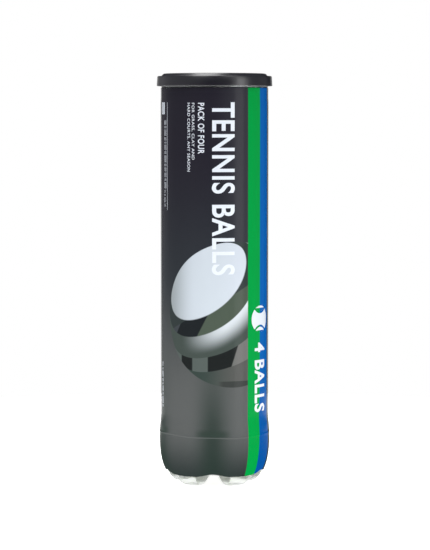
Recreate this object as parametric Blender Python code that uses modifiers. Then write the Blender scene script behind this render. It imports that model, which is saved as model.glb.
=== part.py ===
"""A tennis ball can that holds four balls.

A clear blow-moulded jar stands on five feet. A printed sleeve is shrunk round it, a full-opening
metal end with a ring-pull is seamed to its flange, and a plastic overcap presses over the seam.
Each ball is a rubber core of two half shells under two felt panels, with a rubber seam between.

Metres, +Z up. The origin is the centre of the circle that the feet stand on. The front faces -Y.
"""

import math

import bmesh
import bpy
from mathutils import Vector

# Driving dimensions.
SEAM_TOP_Z = 0.2775  # the top of the metal end's rim
JAR_RADIUS = 0.0364
BALL_RADIUS = 0.0329
BALLS = 4
FEET = 5
GAP = 0.0003  # between pieces that touch

# Facets round the can: eight for each foot, and in line, so that round pieces nest.
SEGMENTS = 8 * FEET
FIRST_FOOT = math.radians(-56)

# The jar's wall.
JAR_WALL = 0.0005
NECK_RADIUS = JAR_RADIUS - 0.00015
BASE_CENTRE_Z = 0.0057
STRAP_RADIUS = JAR_RADIUS  # the hemisphere that the valleys between the feet lie on
FOOT_AXIS_R = 0.0260  # the centre of the ellipse that a foot's outer wall follows
FOOT_DEPTH = 0.0296
BULGE_RADIUS = 0.03744
WALL_START_Z = 0.0483
NECK_START_Z = SEAM_TOP_Z - 0.0171
FLANGE_RADIUS = 0.0379
FLANGE_Z = SEAM_TOP_Z - 0.0031
PETAL_SHARPNESS = 3

# The sleeve.
SLEEVE_WALL = 0.0003
SLEEVE_BOTTOM_Z = 0.0078
SLEEVE_LIFT = 0.0020  # how much higher its edge sits between the feet
SLEEVE_SAG = 0.0015  # how far it draws in there
SLEEVE_TOP_Z = SEAM_TOP_Z - 0.0065

# The metal end.
SHEET = 0.0003
SEAM_RADIUS = 0.0385
SEAM_BOTTOM_Z = SEAM_TOP_Z - 0.0041
HOOK_RADIUS = 0.0377
CHUCK_RADIUS = 0.0354
GROOVE_RADIUS = 0.0342
GROOVE_Z = SEAM_TOP_Z - 0.0065
LIP_RADIUS = 0.0333
LIP_Z = GROOVE_Z + 0.0010
FLOOR_Z = GROOVE_Z + SHEET
FLOOR_RADIUS = 0.0319
BEAD_RADII = (0.0140, 0.0240)
BEAD_HEIGHT = 0.00025

# The ring-pull, its tongue and the rivet through the tongue.
TAB_THICKNESS = 0.0016
TAB_BOTTOM_Z = FLOOR_Z + 0.0006
TAB_NOSE_Y = -0.0300
TONGUE_THICKNESS = 0.0004
RIVET_Y = TAB_NOSE_Y + 0.0059
RIVET_RADIUS = 0.0020
RIVET_HEAD_RADIUS = 0.0032
RIVET_HEAD_HEIGHT = 0.0007

# The overcap.
CAP_TOP_RADIUS = 0.0392
CAP_RADIUS = 0.0396
CAP_WALL = 0.0010
CAP_BOTTOM_Z = SEAM_TOP_Z - 0.0053
CAP_PANEL_Z = SEAM_TOP_Z + GAP + CAP_WALL
CAP_SHOULDER_Z = CAP_PANEL_Z + 0.0002
HEIGHT = CAP_SHOULDER_Z + 0.0017

# A ball, from the inside out.
CORE_INNER_RADIUS = 0.0258
CORE_RADIUS = 0.0288
CORE_STEPS = 16
FELT_INNER_RADIUS = 0.0301
FELT_RIBS = 5  # facets across a felt panel
SEAM_LINE_RADIUS = 0.0309
SEAM_LINE_THICKNESS = 0.0020
SEAM_WAVE = 0.31  # how deep the seam's lobes are: 0 is a circle round the ball
SEAM_SAMPLES = 16  # along each felt panel's side
FIRST_BALL_Z = BASE_CENTRE_Z + JAR_WALL + GAP + BALL_RADIUS
BALL_PITCH = 2 * BALL_RADIUS + GAP
BALL_TURNS = ((20, 35, -30), (-65, 15, 40), (80, -25, 110), (-15, 60, 200))


# ---------------------------------------------------------------- scene, materials and helpers

for old in list(bpy.data.objects):
    bpy.data.objects.remove(old)

part_collection = bpy.data.collections.new("tennis_ball_can")
cutter_collection = bpy.data.collections.new("cutters")
for collection in (part_collection, cutter_collection):
    bpy.context.scene.collection.children.link(collection)


def material(name, colour, roughness, metallic=0.0, transmission=0.0):
    made = bpy.data.materials.new(name)
    made.use_nodes = True
    shader = made.node_tree.nodes["Principled BSDF"]
    shader.inputs["Base Color"].default_value = (*colour, 1.0)
    shader.inputs["Roughness"].default_value = roughness
    shader.inputs["Metallic"].default_value = metallic
    shader.inputs["Transmission Weight"].default_value = transmission
    return made


CLEAR_PLASTIC = material("clear_plastic", (0.92, 0.94, 0.94), 0.08, transmission=0.9)
SLEEVE_FILM = material("sleeve_film", (0.045, 0.050, 0.060), 0.25)
METAL_SHEET = material("metal_sheet", (0.78, 0.79, 0.80), 0.25, metallic=1.0)
SEALING_RUBBER = material("sealing_rubber", (0.55, 0.56, 0.52), 0.6)
CAP_PLASTIC = material("cap_plastic", (0.030, 0.029, 0.038), 0.35)
CORE_RUBBER = material("core_rubber", (0.06, 0.06, 0.065), 0.6)
FELT = material("felt", (0.62, 0.80, 0.10), 0.95)
SEAM_RUBBER = material("seam_rubber", (0.86, 0.86, 0.82), 0.6)


def add_object(name, data, surface, collection=part_collection):
    made = bpy.data.objects.new(name, data)
    collection.objects.link(made)
    if surface and surface.name not in data.materials:
        data.materials.append(surface)
    return made


def smooth(mesh, degrees=35):
    mesh.shade_smooth()
    mesh.set_sharp_from_angle(angle=math.radians(degrees))


def turned_mesh(name, profile, closed):
    """The edges of a profile, given as (radius, height) down the outer side, for a Screw modifier."""
    mesh = bpy.data.meshes.new(name)
    count = len(profile)
    edges = [(i, (i + 1) % count) for i in range(count if closed else count - 1)]
    mesh.from_pydata([(r, 0, z) for r, z in profile], edges, [])
    return mesh


def turned(name, profile, surface, closed=True, steps=SEGMENTS, collection=part_collection):
    """A profile turned about Z, its facets lined up with the jar's."""
    made = add_object(name, turned_mesh(name, profile, closed), surface, collection)
    made.rotation_euler.z = FIRST_FOOT
    screw = made.modifiers.new("Turn", "SCREW")
    screw.steps = screw.render_steps = steps
    screw.use_merge_vertices = True
    screw.merge_threshold = 0.00001
    return made


def mapped_surface(name, columns, rows, place, surface):
    """A grid whose every point, given by its shares across and up, is moved to where it belongs."""
    mesh = bpy.data.meshes.new(name)
    shape = bmesh.new()
    bmesh.ops.create_grid(shape, x_segments=columns, y_segments=rows, size=0.5)
    for vertex in shape.verts:
        vertex.co = place(vertex.co.x + 0.5, vertex.co.y + 0.5)
    bmesh.ops.remove_doubles(shape, verts=shape.verts, dist=0.000001)
    shape.to_mesh(mesh)
    shape.free()
    smooth(mesh)
    return add_object(name, mesh, surface)


def give_wall(made, thickness):
    """Thickens an open surface behind its faces."""
    wall = made.modifiers.new("Wall", "SOLIDIFY")
    wall.thickness = thickness
    wall.offset = -1
    wall.use_even_offset = True
    return wall


def along(profile, share):
    """The point a share of the way along a list of evenly counted points."""
    place = share * (len(profile) - 1)
    first = min(int(place + 1e-6), len(profile) - 2)
    part = place - first
    return [a + (b - a) * part for a, b in zip(profile[first], profile[first + 1])]


def polar(radius, angle, z):
    return Vector((radius * math.cos(angle), radius * math.sin(angle), z))


def rounded_outline(corners, steps=5):
    """A closed outline from (x, y, corner radius) corners, with each corner an arc."""
    points = []
    count = len(corners)
    for i, (x, y, radius) in enumerate(corners):
        here = Vector((x, y))
        to_last = (Vector(corners[i - 1][:2]) - here).normalized()
        to_next = (Vector(corners[(i + 1) % count][:2]) - here).normalized()
        half = to_last.angle(to_next) / 2
        start = here + to_last * (radius / math.tan(half))
        end = here + to_next * (radius / math.tan(half))
        centre = here + (to_last + to_next).normalized() * (radius / math.sin(half))
        sweep = math.pi - 2 * half
        for step in range(steps + 1):
            share = step / steps
            weight_start = math.sin((1 - share) * sweep) / math.sin(sweep)
            weight_end = math.sin(share * sweep) / math.sin(sweep)
            points.append(centre + (start - centre) * weight_start + (end - centre) * weight_end)
    return points


def both_sides(half):
    """A rounded outline from the corners on its +X side, first to last, and their mirror images."""
    return rounded_outline(half + [(-x, y, radius) for x, y, radius in reversed(half)])


def circle_outline(x, y, radius, sides):
    turns = (2 * math.pi * i / sides for i in range(sides))
    return [Vector((x + radius * math.cos(a), y + radius * math.sin(a))) for a in turns]


def flat_plate(name, outlines, thickness, bottom_z, surface):
    """A plate cut to the first outline, with the others as holes in it."""
    curve = bpy.data.curves.new(name, "CURVE")
    curve.dimensions = "2D"
    curve.fill_mode = "BOTH"
    curve.extrude = thickness / 2
    for outline in outlines:
        spline = curve.splines.new("POLY")
        spline.points.add(len(outline) - 1)
        for point, (x, y) in zip(spline.points, outline):
            point.co = (x, y, 0, 1)
        spline.use_cyclic_u = True
    made = add_object(name, curve, surface)
    made.location.z = bottom_z + thickness / 2
    return made


# ---------------------------------------------------------------- jar and sleeve


def ellipse_foot(degrees):
    """A point on a foot's outer wall, from 90 degrees at the bottom to 0 at the bulge."""
    angle = math.radians(degrees)
    across = (BULGE_RADIUS - FOOT_AXIS_R) * math.cos(angle)
    return (FOOT_AXIS_R + across, FOOT_DEPTH - FOOT_DEPTH * math.sin(angle))


def strap(degrees):
    """A point on the hemisphere of the valleys, from 0 degrees at the base's centre."""
    angle = math.radians(degrees)
    height = BASE_CENTRE_Z + STRAP_RADIUS * (1 - math.cos(angle))
    return (STRAP_RADIUS * math.sin(angle), height)


# The outer wall from the base's centre to the flange, over the middle of a foot and down a valley.
# The foot's lowest stretch goes below the ground, and is cut flat there into the pad it stands on.
UPPER_WALL = [
    (0.0373, 0.0355),
    (0.0370, 0.0400),
    (0.0366, 0.0441),
    (JAR_RADIUS, WALL_START_Z),
    (JAR_RADIUS, NECK_START_Z),
    (NECK_RADIUS, NECK_START_Z + 0.0040),
    (NECK_RADIUS, SLEEVE_TOP_Z),
    (0.0366, FLANGE_Z - 0.0017),
    (0.0371, FLANGE_Z - 0.0004),
    (FLANGE_RADIUS, FLANGE_Z),
]
FOOT_PROFILE = [
    (0, BASE_CENTRE_Z),
    (0.0060, BASE_CENTRE_Z - 0.0003),
    (0.0120, BASE_CENTRE_Z - 0.0017),
    (0.0170, 0.0014),
    (0.0200, -0.0006),
    (0.0255, -0.0008),
    *[ellipse_foot(degrees) for degrees in (74, 62, 50, 38, 26, 13, 0)],
    *UPPER_WALL,
]
STRAP_PROFILE = [
    *[strap(degrees) for degrees in (0, 9, 18.5, 27, 33, 42, 50, 56, 62, 68, 74, 79, 84, 90)],
    (STRAP_RADIUS, 0.0441),
    (STRAP_RADIUS, 0.0462),
    *UPPER_WALL[3:],
]


def foot_share(angle):
    """1 over the middle of a foot, 0 in the middle of a valley."""
    wave = 0.5 + 0.5 * math.cos(FEET * angle)
    return 1 - (1 - wave) ** PETAL_SHARPNESS


def jar_point(round_share, up):
    angle = 2 * math.pi * round_share
    foot_r, foot_z = along(FOOT_PROFILE, up)
    strap_r, strap_z = along(STRAP_PROFILE, up)
    share = foot_share(angle)
    radius = strap_r + (foot_r - strap_r) * share
    height = max(0.0, strap_z + (foot_z - strap_z) * share)
    return polar(radius, angle + FIRST_FOOT, height)


def make_jar():
    jar = mapped_surface(
        "can_body", SEGMENTS, len(FOOT_PROFILE) - 1, jar_point, CLEAR_PLASTIC
    )
    give_wall(jar, JAR_WALL)


# The sleeve's outside, from its lower edge up.
SLEEVE_OFFSET = GAP + SLEEVE_WALL
SLEEVE_PROFILE = [
    *[
        (r + SLEEVE_OFFSET, z)
        for r, z in [ellipse_foot(d) for d in (47.5, 36, 24, 12, 0)] + UPPER_WALL[:7]
    ]
]


def sleeve_point(round_share, up):
    angle = 2 * math.pi * round_share
    radius, height = along(SLEEVE_PROFILE, up)
    valley = (1 - foot_share(angle)) * max(0.0, 1 - (height - SLEEVE_BOTTOM_Z) / FOOT_DEPTH) ** 2
    return polar(radius - SLEEVE_SAG * valley, angle + FIRST_FOOT, height + SLEEVE_LIFT * valley)


def make_sleeve():
    sleeve = mapped_surface(
        "label_sleeve", SEGMENTS, len(SLEEVE_PROFILE) - 1, sleeve_point, SLEEVE_FILM
    )
    give_wall(sleeve, SLEEVE_WALL)


# ---------------------------------------------------------------- metal end


def make_end_ring():
    """The seamed rim that stays on the can: hooked under the flange, over it, and down inside."""
    inner_seam = SEAM_RADIUS - SHEET
    profile = [
        (CHUCK_RADIUS - SHEET, SEAM_TOP_Z - SHEET),
        (CHUCK_RADIUS, SEAM_TOP_Z),
        (SEAM_RADIUS - SHEET, SEAM_TOP_Z),
        (SEAM_RADIUS, SEAM_TOP_Z - SHEET),
        (SEAM_RADIUS, SEAM_BOTTOM_Z),
        (HOOK_RADIUS, SEAM_BOTTOM_Z),
        (HOOK_RADIUS, SEAM_BOTTOM_Z + SHEET),
        (inner_seam, SEAM_BOTTOM_Z + SHEET),
        (inner_seam, SEAM_TOP_Z - SHEET),
        (CHUCK_RADIUS + 0.0001, SEAM_TOP_Z - SHEET),
        (CHUCK_RADIUS, GROOVE_Z),
        (GROOVE_RADIUS - SHEET, GROOVE_Z),
        (GROOVE_RADIUS - SHEET, LIP_Z - SHEET),
        (LIP_RADIUS, LIP_Z - SHEET),
        (LIP_RADIUS, LIP_Z),
        (GROOVE_RADIUS, LIP_Z),
        (GROOVE_RADIUS, GROOVE_Z + SHEET),
        (CHUCK_RADIUS - SHEET, GROOVE_Z + SHEET),
    ]
    turned("end_ring", profile, METAL_SHEET)


def make_seam_compound():
    """The ring of sealing compound that the seam squeezes against the jar's flange."""
    inner, outer = NECK_RADIUS + 0.0001, SEAM_RADIUS - SHEET - GAP
    bottom, top = FLANGE_Z + JAR_WALL + GAP, SEAM_TOP_Z - SHEET - GAP
    profile = [(inner, top), (outer, top), (outer, bottom), (inner, bottom)]
    turned("seam_compound", profile, SEALING_RUBBER)


def make_tear_panel():
    """The panel inside the score, with its stiffening beads and the rivet drawn up from it."""
    outer = LIP_RADIUS - GAP
    top = [(0, FLOOR_Z)]
    for radius in BEAD_RADII:
        top += [
            (radius - 0.0008, FLOOR_Z),
            (radius, FLOOR_Z + BEAD_HEIGHT),
            (radius + 0.0008, FLOOR_Z),
        ]
    top += [(FLOOR_RADIUS, FLOOR_Z), (FLOOR_RADIUS + 0.0005, LIP_Z), (outer, LIP_Z)]
    underside = [(r, z - SHEET) for r, z in reversed(top)]
    panel = turned("tear_panel", top + underside, METAL_SHEET, closed=False)

    head_bottom = TAB_BOTTOM_Z + TONGUE_THICKNESS + GAP
    head_top = head_bottom + RIVET_HEAD_HEIGHT
    rivet_profile = [
        (0, head_top),
        (RIVET_HEAD_RADIUS - 0.0006, head_top),
        (RIVET_HEAD_RADIUS, head_top - 0.0004),
        (RIVET_HEAD_RADIUS, head_bottom),
        (RIVET_RADIUS, head_bottom),
        (RIVET_RADIUS, TAB_BOTTOM_Z - GAP),
        (RIVET_HEAD_RADIUS, TAB_BOTTOM_Z - GAP),
        (RIVET_HEAD_RADIUS, FLOOR_Z - SHEET / 2),
        (0, FLOOR_Z - SHEET / 2),
    ]
    rivet = turned(
        "rivet", rivet_profile, METAL_SHEET, closed=False, steps=20, collection=cutter_collection
    )
    rivet.location.y = RIVET_Y
    rivet.hide_render = True
    rivet.display_type = "WIRE"
    join = panel.modifiers.new("Rivet", "BOOLEAN")
    join.operation = "UNION"
    join.object = rivet


def make_pull_tab():
    """The ring-pull, and the tongue lanced out of it that the rivet holds down."""
    nose = TAB_NOSE_Y
    half_body = [
        (0.0065, nose, 0.0025),
        (0.0080, nose + 0.0109, 0.0080),
        (0.0110, nose + 0.0179, 0.0060),
        (0.0110, nose + 0.0349, 0.0100),
    ]
    half_finger_hole = [(0.0078, nose + 0.0144, 0.0045), (0.0078, nose + 0.0317, 0.0070)]
    half_window = [(0.0048, nose + 0.0020, 0.0008), (0.0048, nose + 0.0103, 0.0030)]
    half_tongue = [(0.0044, nose + 0.0024, 0.0005), (0.0044, nose + 0.0099, 0.0027)]
    holes = [both_sides(half_finger_hole), both_sides(half_window)]
    flat_plate("pull_tab", [both_sides(half_body), *holes], TAB_THICKNESS, TAB_BOTTOM_Z, METAL_SHEET)
    rivet_hole = circle_outline(0, RIVET_Y, RIVET_RADIUS + GAP, 16)
    tongue_outlines = [both_sides(half_tongue), rivet_hole]
    flat_plate("tab_tongue", tongue_outlines, TONGUE_THICKNESS, TAB_BOTTOM_Z, METAL_SHEET)


# ---------------------------------------------------------------- overcap


def make_overcap():
    """The press-on cap: a panel with a raised rim, and a skirt that reaches below the seam."""
    under = CAP_PANEL_Z - CAP_WALL
    inside = SEAM_RADIUS + GAP
    profile = [
        (0, CAP_PANEL_Z),
        (0.0328, CAP_PANEL_Z),
        (0.0334, HEIGHT - 0.0004),
        (0.0340, HEIGHT),
        (0.0350, HEIGHT),
        (0.0356, HEIGHT - 0.0004),
        (0.0362, CAP_SHOULDER_Z),
        (CAP_TOP_RADIUS - 0.0006, CAP_SHOULDER_Z),
        (CAP_TOP_RADIUS, CAP_SHOULDER_Z - 0.0006),
        (CAP_RADIUS, CAP_BOTTOM_Z),
        (inside + 0.0003, CAP_BOTTOM_Z),
        (inside, CAP_BOTTOM_Z + 0.0005),
        (inside, CAP_BOTTOM_Z + 0.0009),
        (inside + 0.0002, CAP_BOTTOM_Z + 0.0012),
        (inside, under),
        (0.0361, under),
        (0.0348, HEIGHT - CAP_WALL),
        (0.0342, HEIGHT - CAP_WALL),
        (0.0331, under),
        (0, under),
    ]
    turned("overcap", profile, CAP_PLASTIC, closed=False)


# ---------------------------------------------------------------- balls


def seam_direction(turn):
    """The direction of a point of the seam from the ball's centre: one wave for each quarter."""
    major, minor = 1 - SEAM_WAVE, SEAM_WAVE
    return Vector(
        (
            major * math.cos(turn) + minor * math.cos(3 * turn),
            major * math.sin(turn) - minor * math.sin(3 * turn),
            2 * math.sqrt(major * minor) * math.sin(2 * turn),
        )
    )


def panel_edge(turn):
    """The edge of the panel over +Z, held back from the seam's middle by the seam and a gap."""
    here = seam_direction(turn)
    ahead = seam_direction(turn + 0.001) - seam_direction(turn - 0.001)
    inward = here.cross(ahead).normalized()
    setback = (SEAM_LINE_THICKNESS / 2 + 1.2 * GAP) / SEAM_LINE_RADIUS
    return (here + inward * setback).normalized()


def felt_point(along_share, across_share):
    """A dumbbell panel: each rib crosses between an edge point and its mirror image."""
    edge = panel_edge(math.pi * (along_share - 0.25))
    mirrored = Vector((-edge.y, -edge.x, edge.z))
    return edge.slerp(mirrored, across_share, edge) * BALL_RADIUS


def make_ball_meshes():
    """The meshes that the four balls share: a half core, a felt panel and the seam."""
    arc = [math.radians(90 * i / 4) for i in range(5)]
    half_gap = GAP / 2
    outer = [(CORE_RADIUS * math.sin(a), half_gap + CORE_RADIUS * math.cos(a)) for a in arc]
    inner = [
        (CORE_INNER_RADIUS * math.sin(a), half_gap + CORE_INNER_RADIUS * math.cos(a)) for a in arc
    ]
    core = turned("core", outer + inner[::-1], CORE_RUBBER, closed=False, steps=CORE_STEPS)

    felt = mapped_surface("felt_panel", SEAM_SAMPLES, FELT_RIBS, felt_point, FELT)
    give_wall(felt, BALL_RADIUS - FELT_INNER_RADIUS)

    line = bpy.data.curves.new("seam_line", "CURVE")
    line.dimensions = "3D"
    line.bevel_depth = SEAM_LINE_THICKNESS / 2
    line.bevel_resolution = 0
    spline = line.splines.new("POLY")
    count = 2 * SEAM_SAMPLES
    spline.points.add(count - 1)
    for i, point in enumerate(spline.points):
        place = seam_direction(math.pi * (i / SEAM_SAMPLES - 0.25)) * SEAM_LINE_RADIUS
        point.co = (*place, 1)
    spline.use_cyclic_u = True
    seam = add_object("seam_line", line, SEAM_RUBBER)

    made = []
    graph = bpy.context.evaluated_depsgraph_get()
    graph.update()
    for source in (core, felt, seam):
        mesh = bpy.data.meshes.new_from_object(source.evaluated_get(graph))
        smooth(mesh)
        made.append(mesh)
        bpy.data.objects.remove(source)
    return made


def make_balls():
    core, felt, seam = make_ball_meshes()
    for number in range(1, BALLS + 1):
        centre = bpy.data.objects.new(f"ball_{number}_centre", None)
        part_collection.objects.link(centre)
        centre.location.z = FIRST_BALL_Z + (number - 1) * BALL_PITCH
        centre.rotation_euler = [math.radians(a) for a in BALL_TURNS[number - 1]]
        for piece, mesh, surface, turned_over in (
            ("core_upper", core, CORE_RUBBER, False),
            ("core_lower", core, CORE_RUBBER, True),
            ("felt_a", felt, FELT, False),
            ("felt_b", felt, FELT, True),
            ("seam", seam, SEAM_RUBBER, False),
        ):
            made = add_object(f"ball_{number}_{piece}", mesh, surface)
            made.parent = centre
            if turned_over:
                made.rotation_euler.x = math.pi


make_jar()
make_sleeve()
make_end_ring()
make_seam_compound()
make_tear_panel()
make_pull_tab()
make_overcap()
make_balls()
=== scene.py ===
import math

import bmesh
import bpy
from mathutils import Euler, Matrix, Vector, kdtree, noise


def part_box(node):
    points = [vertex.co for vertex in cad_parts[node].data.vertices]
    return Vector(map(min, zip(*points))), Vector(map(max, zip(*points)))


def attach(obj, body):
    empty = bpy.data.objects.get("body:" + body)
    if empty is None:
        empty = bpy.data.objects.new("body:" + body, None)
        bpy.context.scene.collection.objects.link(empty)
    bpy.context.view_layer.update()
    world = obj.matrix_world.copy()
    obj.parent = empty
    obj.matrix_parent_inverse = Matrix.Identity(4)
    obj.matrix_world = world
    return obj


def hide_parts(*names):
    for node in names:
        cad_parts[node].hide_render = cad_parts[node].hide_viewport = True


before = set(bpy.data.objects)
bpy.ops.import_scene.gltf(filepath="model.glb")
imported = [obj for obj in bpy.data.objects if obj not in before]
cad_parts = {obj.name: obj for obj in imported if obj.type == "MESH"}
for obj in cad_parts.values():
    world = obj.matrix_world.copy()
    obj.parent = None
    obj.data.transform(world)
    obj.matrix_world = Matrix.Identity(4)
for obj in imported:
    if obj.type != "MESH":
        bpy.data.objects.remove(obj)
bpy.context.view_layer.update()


# ------------------------------------------------------------------ the clear jar
# The can body is one jar, stretch-blown in clear polyester with a wall of half a millimetre. It
# swells above a base of five hollow feet, and a flange at its mouth takes the metal end. A stub
# of the moulding's gate is left in the middle of the base.

FEET = 5
FIRST_FOOT = math.radians(-56)
# The middle of a valley between two feet, in degrees round from the front, as the prints are.
VALLEY_DEGREES = math.degrees(FIRST_FOOT) + 90 - 180 / FEET
RIM_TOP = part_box("end_ring")[1].z
JAR_RADIUS = 0.0364
JAR_WALL = 0.0005
NECK_RADIUS = JAR_RADIUS - 0.00015
NECK_START = RIM_TOP - 0.0171
NECK_END = RIM_TOP - 0.0065
FLANGE_Z = RIM_TOP - 0.0031
BASE_Z = 0.0057
FOOT_MIDDLE = 0.0260
FOOT_TOP = 0.0296
BULGE_RADIUS = 0.03744
VALLEY_SHARPNESS = 3
GATE_RADIUS = 0.0022
GATE_HEIGHT = 0.0005
PAD_SOFTNESS = 0.0004
JAR_COLUMNS = 48 * FEET
JAR_ROWS_EACH = 4
MERGE = 0.000002


def foot_wall(degrees):
    angle = math.radians(degrees)
    across = (BULGE_RADIUS - FOOT_MIDDLE) * math.cos(angle)
    return (FOOT_MIDDLE + across, FOOT_TOP - FOOT_TOP * math.sin(angle))


def valley_wall(degrees):
    angle = math.radians(degrees)
    return (JAR_RADIUS * math.sin(angle), BASE_Z + JAR_RADIUS * (1 - math.cos(angle)))


UPPER_WALL = [
    (0.0373, 0.0355),
    (0.0370, 0.0400),
    (0.0366, 0.0441),
    (JAR_RADIUS, 0.0483),
    (JAR_RADIUS, NECK_START),
    (NECK_RADIUS, NECK_START + 0.0040),
    (NECK_RADIUS, NECK_END),
    (0.0366, FLANGE_Z - 0.0017),
    (0.0371, FLANGE_Z - 0.0004),
    (0.0379, FLANGE_Z),
]
FOOT_LINE = [
    (0, BASE_Z),
    (0.0060, BASE_Z - 0.0003),
    (0.0120, BASE_Z - 0.0017),
    (0.0170, 0.0014),
    (0.0200, -0.0006),
    (0.0255, -0.0008),
    *[foot_wall(degrees) for degrees in (74, 62, 50, 38, 26, 13, 0)],
    *UPPER_WALL,
]
VALLEY_LINE = [
    *[valley_wall(degrees) for degrees in (0, 9, 18.5, 27, 33, 42, 50, 56, 62, 68, 74, 79, 84, 90)],
    (JAR_RADIUS, 0.0441),
    (JAR_RADIUS, 0.0462),
    *UPPER_WALL[3:],
]


def along(line, share):
    """A point a share of the way along a line, on a smooth curve through its points."""
    place = share * (len(line) - 1)
    i = min(int(place + 1e-6), len(line) - 2)
    s = place - i
    before, here, ahead, after = [
        Vector(line[min(max(j, 0), len(line) - 1)]) for j in (i - 1, i, i + 1, i + 2)
    ]
    span = (ahead - here).length
    span_before = (here - before).length
    span_after = (after - ahead).length
    start = (ahead - before) / (span + span_before)
    end = (after - here) / (span + span_after)
    return (
        here * (2 * s**3 - 3 * s**2 + 1)
        + start * span * (s**3 - 2 * s**2 + s)
        + ahead * (3 * s**2 - 2 * s**3)
        + end * span * (s**3 - s**2)
    )


def foot_share(angle):
    """1 over the middle of a foot, 0 in the middle of a valley between two."""
    return 1 - (0.5 - 0.5 * math.cos(FEET * angle)) ** VALLEY_SHARPNESS


def polar(radius, angle, z):
    return Vector((radius * math.cos(angle), radius * math.sin(angle), z))


def mapped_sheet(name, columns, rows, place):
    """An open sheet whose every point, given by its shares across and up, goes where place says."""
    mesh = bpy.data.meshes.new(name)
    shape = bmesh.new()
    bmesh.ops.create_grid(shape, x_segments=columns, y_segments=rows, size=0.5)
    for vertex in shape.verts:
        vertex.co = place(vertex.co.x + 0.5, vertex.co.y + 0.5)
    bmesh.ops.remove_doubles(shape, verts=shape.verts, dist=MERGE)
    shape.to_mesh(mesh)
    shape.free()
    mesh.shade_smooth()
    made = bpy.data.objects.new(name, mesh)
    bpy.context.scene.collection.objects.link(made)
    return made


def wall(made, thickness):
    """Gives a sheet its thickness, behind its faces."""
    solid = made.modifiers.new("Wall", "SOLIDIFY")
    solid.thickness = thickness
    solid.offset = -1
    solid.use_even_offset = True
    return solid


def jar_point(around, up):
    angle = 2 * math.pi * around
    share = foot_share(angle)
    point = along(VALLEY_LINE, up).lerp(along(FOOT_LINE, up), share)
    height = (point.y + math.hypot(point.y, PAD_SOFTNESS)) / 2
    height -= GATE_HEIGHT * math.exp(-((point.x / GATE_RADIUS) ** 4))
    return polar(max(point.x, 0), angle + FIRST_FOOT, height)


class Field:
    """An output socket in a node tree. Python's arithmetic on it adds Math nodes."""

    def __init__(self, nodes, socket):
        self.nodes = nodes
        self.socket = socket

    def __add__(self, other):
        return self.nodes.math("ADD", self, other)

    def __sub__(self, other):
        return self.nodes.math("SUBTRACT", self, other)

    def __rsub__(self, other):
        return self.nodes.math("SUBTRACT", other, self)

    def __mul__(self, other):
        return self.nodes.math("MULTIPLY", self, other)

    def __truediv__(self, other):
        return self.nodes.math("DIVIDE", self, other)

    def __pow__(self, other):
        return self.nodes.math("POWER", self, other)

    __radd__ = __add__

    def rise(self, low, high):
        """0 below low, 1 above high, and smooth between."""
        return self.nodes.add(
            "ShaderNodeMapRange",
            {"interpolation_type": "SMOOTHSTEP"},
            {"Value": self, "From Min": low, "From Max": high},
        )

    def band(self, low, high, edge):
        """1 between low and high, 0 outside, with edges that wide."""
        return self.rise(low - edge / 2, low + edge / 2) - self.rise(high - edge / 2, high + edge / 2)


class Nodes:
    """A node tree being made."""

    def __init__(self, tree):
        self.tree = tree

    def feed(self, socket, value):
        if isinstance(value, Field):
            self.tree.links.new(value.socket, socket)
        else:
            socket.default_value = value

    def add(self, kind, settings=(), inputs=(), output=0):
        """Adds a node: its settings first, then the values or links of its sockets."""
        node = self.tree.nodes.new(kind)
        for name, value in dict(settings).items():
            setattr(node, name, value)
        for key, value in dict(inputs).items():
            self.feed(node.inputs[key], value)
        return Field(self, node.outputs[output])

    def math(self, operation, *values):
        return self.add("ShaderNodeMath", {"operation": operation}, enumerate(values))

    def parts(self, vector):
        """The x, y and z of a vector."""
        split = self.add("ShaderNodeSeparateXYZ", {}, {"Vector": vector})
        return [Field(self, output) for output in split.socket.node.outputs]

    def mix(self, factor, first, second):
        """A colour between two, by a factor."""
        sockets = {"Factor": factor, 6: first, 7: second}
        return self.add("ShaderNodeMix", {"data_type": "RGBA"}, sockets, output=2)


class Finish(Nodes):
    """A material being made, round a Principled shader."""

    def __init__(self, name, **constants):
        self.material = bpy.data.materials.new(name)
        self.material.use_nodes = True
        super().__init__(self.material.node_tree)
        self.shader = self.tree.nodes["Principled BSDF"]
        self.set(**constants)

    def set(self, **values):
        """Sets the shader's sockets, with _ for a space in their names."""
        for name, value in values.items():
            self.feed(self.shader.inputs[name.replace("_", " ")], value)

    def place(self, scale=(1, 1, 1)):
        """Where a point is, in metres times the scale."""
        where = self.add("ShaderNodeTexCoord", output="Object")
        return self.add("ShaderNodeMapping", {}, {"Vector": where, "Scale": scale})

    def coordinates(self):
        """The x, y and z of a point, in millimetres."""
        return self.parts(self.place((1000, 1000, 1000)))

    def round_from_front(self):
        """How far round the can a point is from its front, in degrees."""
        x, y, _ = self.coordinates()
        return self.math("ARCTAN2", x, 0 - y) * (180 / math.pi)

    def valleys(self, degrees):
        """1 in the middle of a valley between two feet, 0 over the middle of a foot."""
        return self.math("COSINE", (degrees - VALLEY_DEGREES) * (math.pi / 180 * FEET)) * 0.5 + 0.5

    def noise(self, scale, detail=3.0, stretch=(1, 1, 1), roughness=0.5):
        """Noise whose lumps are about 1 / scale metres across."""
        where = {"Vector": self.place(stretch)}
        inputs = {"Scale": scale, "Detail": detail, "Roughness": roughness}
        return self.add("ShaderNodeTexNoise", {}, where | inputs)

    def bump(self, height, depth, strength=1.0):
        """Raises the surface by a height of 0 to 1 times the depth in metres."""
        inputs = {"Height": height, "Distance": depth, "Strength": strength}
        self.set(Normal=self.add("ShaderNodeBump", {}, inputs))


def colour(red, green, blue):
    return (red, green, blue, 1.0)


def finish_piece(piece, body, slot, finish, *nodes):
    """Puts a piece on its body, in its material, in place of the CAD nodes that it stands for."""
    piece.data.materials.clear()
    piece.data.materials.append(finish.material)
    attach(piece, body)
    if nodes:
        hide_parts(*nodes)


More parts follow.
